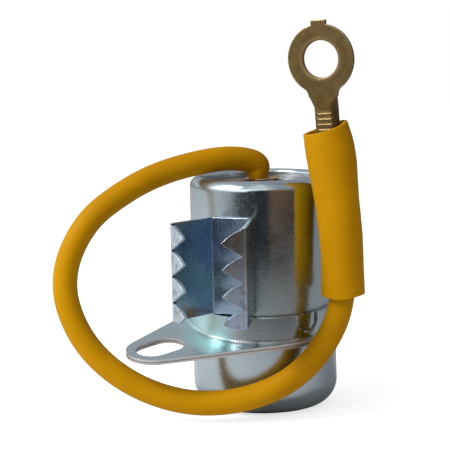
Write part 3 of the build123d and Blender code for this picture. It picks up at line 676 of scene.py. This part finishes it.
def sleeve():
    """The sleeve: a closed profile of wall and ends, carried round an oval whose size and middle change with height.

    The profile runs up the outside, over the top end in a flat arc, down the inside and under the foot in another.
    At each angle its ends lie on the two slanting, slightly wavy planes that the tube was cut by. Polynomials in the
    height smooth the stations' columns, and a shallow ripple goes on top of the oval's two half sizes."""
    around = np.linspace(0.0, 2 * np.pi, SLEEVE_COLUMNS, endpoint=False)[None, :]
    climb = np.linspace(0.0, 1.0, SLEEVE_ROWS)
    roll = np.linspace(0.0, np.pi, SLEEVE_END_ROWS + 2)[1:-1]
    share = np.concatenate([climb, np.ones(SLEEVE_END_ROWS), climb[::-1], np.zeros(SLEEVE_END_ROWS)])[:, None]
    inset = np.concatenate([0 * climb, 1 - np.cos(roll), 0 * climb + 2, 1 + np.cos(roll)])[:, None] * SLEEVE_WALL / 2
    beyond = np.concatenate([0 * climb, np.sin(roll), 0 * climb, -np.sin(roll)])[:, None] * SLEEVE_BULGE

    def turned(wide, deep):
        """The x and y of the oval with those half sizes, from its middle."""
        right, back = wide * np.cos(around), deep * np.sin(around)
        return (right * a + back * b for a, b in zip(SLEEVE_ACROSS, SLEEVE_BEHIND))

    x, y = turned(SLEEVE_HALF_WIDTH, SLEEVE_HALF_DEPTH)
    foot = 18.28 + 0.041 * x + 0.085 * y + 0.1 * np.cos(3 * around + 1.0) + SLEEVE_BULGE
    top = 42.14 + 0.306 * x + 0.04 * y + 0.06 * np.sin(2 * around) - SLEEVE_BULGE
    height = foot + (top - foot) * share
    stations, *columns = SLEEVE_STATIONS.T
    curves = [np.polynomial.Polynomial.fit(stations, column, SLEEVE_DEGREE) for column in columns]
    across, depth, wide, deep = (curve(height) for curve in curves)
    ripple = 0.02 * np.sin(height * 0.7 + 2 * around) + 0.008 * np.sin(height * 1.9 - 3 * around + 1.3)
    x, y = turned(wide + ripple - inset, deep + ripple - inset)
    points = np.stack([across + x, depth + y, height + beyond], -1)
    return mesh_grid("sleeve", points, SLEEVE_YELLOW)


SLEEVE = sleeve()
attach(SLEEVE, "root")
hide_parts("terminal_sleeve")

LEAD = lead()
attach(LEAD, "root")
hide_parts("lead_insulation")


# ================================================================ light, floor and camera
# how far above the sill the bright band begins and is full, and the same for the ceiling above the level
BAND_FROM, BAND_FULL = 0.0, 0.15
CEILING_FROM, CEILING_FULL = 0.34, 0.54
# how strongly the room lights matt things
ROOM_LIGHT = 0.66
# how white the floor is to the camera, in the metal and to matt things, and how dark its front end is in the metal
FLOOR_TO_LENS, FLOOR_TO_METAL, FLOOR_TO_REST = 0.9, 0.92, 0.84
FLOOR_DARK = 0.02
FLOOR_GLOW = 0.7
# the camera's place in metres, its turns in radians, and its lens and sensor in mm
CAMERA_AWAY, CAMERA_HEIGHT = 0.2548, 0.06044
CAMERA_PAN, CAMERA_TILT, CAMERA_ROLL = -0.022, 0.130, 0.022
CAMERA_LENS, CAMERA_SENSOR = 137.6, 36.0


def grey(value):
    """A colour with that value in all three channels."""
    return (value, value, value, 1)


def world():
    """White for the camera. For the object it is a room: dim walls, darkest in front and brown to the right of that,
    a bright band above them that fades to the right, and a grey ceiling. A sill says how high the walls reach at
    each azimuth. On matt things the room shines less than in the metal."""
    surroundings = bpy.data.worlds.new("surroundings")
    surroundings.use_nodes = True
    tree = surroundings.node_tree
    tree.nodes.clear()
    way = add(tree, "ShaderNodeTexCoord").outputs["Generated"]
    split = add(tree, "ShaderNodeSeparateXYZ", {0: way}).outputs
    turn = maths(tree, "ARCTAN2", split["X"], maths(tree, "MULTIPLY", split["Y"], -1.0))
    turn = add(tree, "ShaderNodeMapRange", {"Value": turn, "From Min": -np.pi, "From Max": np.pi}).outputs["Result"]

    def stops(*pairs):
        return ramp(tree, turn, [((degrees + 180) / 360, (*colour, 1)) for degrees, colour in pairs])

    walls = stops(
        (-180, (0.2, 0.2, 0.21)), (-110, (0.45, 0.45, 0.46)), (-68, (0.4, 0.4, 0.42)), (-50, (0.16, 0.16, 0.175)),
        (-30, (0.07, 0.068, 0.072)), (-8, (0.022, 0.022, 0.028)), (9, (0.022, 0.022, 0.028)),
        (14, (0.2, 0.115, 0.065)), (50, (0.2, 0.12, 0.075)), (70, (0.15, 0.145, 0.14)),
        (110, (0.24, 0.24, 0.24)), (145, (0.1, 0.105, 0.11)), (180, (0.12, 0.12, 0.125)),
    )
    band = stops(
        (-180, (0.4, 0.4, 0.42)), (-130, (0.9, 0.9, 0.95)), (-110, (1.9, 1.9, 1.95)), (-30, (1.9, 1.9, 1.95)),
        (3, (1.5, 1.49, 1.47)), (24, (0.42, 0.41, 0.39)), (60, (0.3, 0.29, 0.29)), (180, (0.4, 0.4, 0.42)),
    )
    ceiling = stops(
        (-180, (0.5, 0.5, 0.55)), (-30, (0.58, 0.6, 0.66)), (-12, (0.95, 0.95, 1.0)), (8, (0.9, 0.9, 0.92)),
        (24, (0.45, 0.45, 0.48)), (180, (0.4, 0.4, 0.45)),
    )
    low, level, high = (0.0, 0.0, 0.0), (0.1, 0.1, 0.1), (0.22, 0.22, 0.22)
    sill = stops(
        (-180, level), (-62, level), (-46, low), (-28, low), (-12, high), (20, high), (40, level), (180, level),
    )
    over_sill = maths(tree, "SUBTRACT", split["Z"], sill)
    colour = blend_colours(tree, span(tree, over_sill, BAND_FROM, BAND_FULL), walls, band)
    colour = blend_colours(tree, span(tree, split["Z"], CEILING_FROM, CEILING_FULL), colour, ceiling)
    rays = add(tree, "ShaderNodeLightPath").outputs
    colour = blend_colours(tree, rays["Is Camera Ray"], colour, grey(1))
    strength = span(tree, rays["Is Diffuse Ray"], 0.0, 1.0, 1.0, ROOM_LIGHT)
    background = add(tree, "ShaderNodeBackground", {"Color": colour, "Strength": strength})
    output = tree.nodes.new("ShaderNodeOutputWorld")
    tree.links.new(background.outputs[0], output.inputs["Surface"])
    scene.world = surroundings


def floor():
    """A white sheet that the camera sees as white. In the metal its colour carries painted shade: its front fades to
    dark, and it is dimmer on the right and close round the can, where the can's shadow falls."""
    corners = [(-0.6, -0.2, 0.0), (0.5, -0.2, 0.0), (0.5, 0.7, 0.0), (-0.6, 0.7, 0.0)]
    mesh = bpy.data.meshes.new("floor")
    mesh.from_pydata(corners, [], [(0, 1, 2, 3)])
    piece = bpy.data.objects.new("floor", mesh)
    scene.collection.objects.link(piece)
    material = bpy.data.materials.new("white sheet")
    material.use_nodes = True
    tree = material.node_tree
    tree.nodes.clear()
    rays = add(tree, "ShaderNodeLightPath").outputs
    to_back, to_right = (place_along(tree, direction) for direction in ((0.0, 1.0, 0.0), (1.0, 0.0, 0.0)))
    # painted shade on the floor as the metal sees it: darker to the front, on the right and round the can
    front = maths(tree, "POWER", span(tree, to_back, -0.2, -0.02), 1.95)
    right = span(tree, to_right, 0.0, 0.06, 1.0, 0.58)
    near_can = span(tree, from_axis(tree), 0.01, 0.03, 0.75, 1.0)
    fade = maths(tree, "MULTIPLY", maths(tree, "MULTIPLY", front, right), near_can)
    in_metal = blend_colours(tree, fade, grey(FLOOR_DARK), grey(FLOOR_TO_METAL))
    colour = blend_colours(tree, rays["Is Diffuse Ray"], grey(FLOOR_TO_LENS), grey(FLOOR_TO_REST))
    colour = blend_colours(tree, rays["Is Glossy Ray"], colour, in_metal)
    paper = add(tree, "ShaderNodeBsdfDiffuse", {"Color": colour}).outputs[0]
    glow = maths(tree, "MULTIPLY", rays["Is Camera Ray"], FLOOR_GLOW)
    lift = add(tree, "ShaderNodeEmission", {"Strength": glow}).outputs[0]
    both = add(tree, "ShaderNodeAddShader", {0: paper, 1: lift}).outputs[0]
    output = tree.nodes.new("ShaderNodeOutputMaterial")
    tree.links.new(both, output.inputs["Surface"])
    mesh.materials.append(material)


def pose(piece, columns, place):
    """Turns a piece so that its x, y and z axes lie along the columns, and moves it to its place."""
    rows = [(*row, where) for row, where in zip(np.stack(columns, 1), place)]
    piece.matrix_world = Matrix(rows + [(0, 0, 0, 1)])


def lamp(name, place, aim, width, height, power):
    """A rectangular soft white light that looks at a point."""
    data = bpy.data.lights.new(name, "AREA")
    data.shape = "RECTANGLE"
    data.size = width
    data.size_y = height
    data.energy = power
    piece = bpy.data.objects.new(name, data)
    scene.collection.objects.link(piece)
    back = np.subtract(place, aim)
    back = back / np.linalg.norm(back)
    right = np.cross(UP, back)
    right = right / np.linalg.norm(right)
    pose(piece, [right, np.cross(back, right), back], place)


def camera():
    """A long lens a quarter of a metre in front of the part and a little above it, looking slightly down."""
    pan, tilt, roll = CAMERA_PAN, CAMERA_TILT, CAMERA_ROLL
    forward = np.array([np.sin(pan) * np.cos(tilt), np.cos(pan) * np.cos(tilt), -np.sin(tilt)])
    right = np.array([np.cos(pan), -np.sin(pan), 0.0])
    down = np.cross(forward, right)
    right, down = np.cos(roll) * right + np.sin(roll) * down, np.cos(roll) * down - np.sin(roll) * right
    data = bpy.data.cameras.new("camera")
    data.sensor_width = CAMERA_SENSOR
    data.lens = CAMERA_LENS
    data.clip_start = 0.01
    piece = bpy.data.objects.new("camera", data)
    scene.collection.objects.link(piece)
    pose(piece, [right, -down, -forward], (0.0, -CAMERA_AWAY, CAMERA_HEIGHT))
    scene.camera = piece


scene.view_settings.view_transform = "Standard"
world()
floor()
lamp("key", place=(-0.34, -0.2, 0.36), aim=(0, 0, 0.02), width=0.22, height=0.22, power=1.95)
camera()
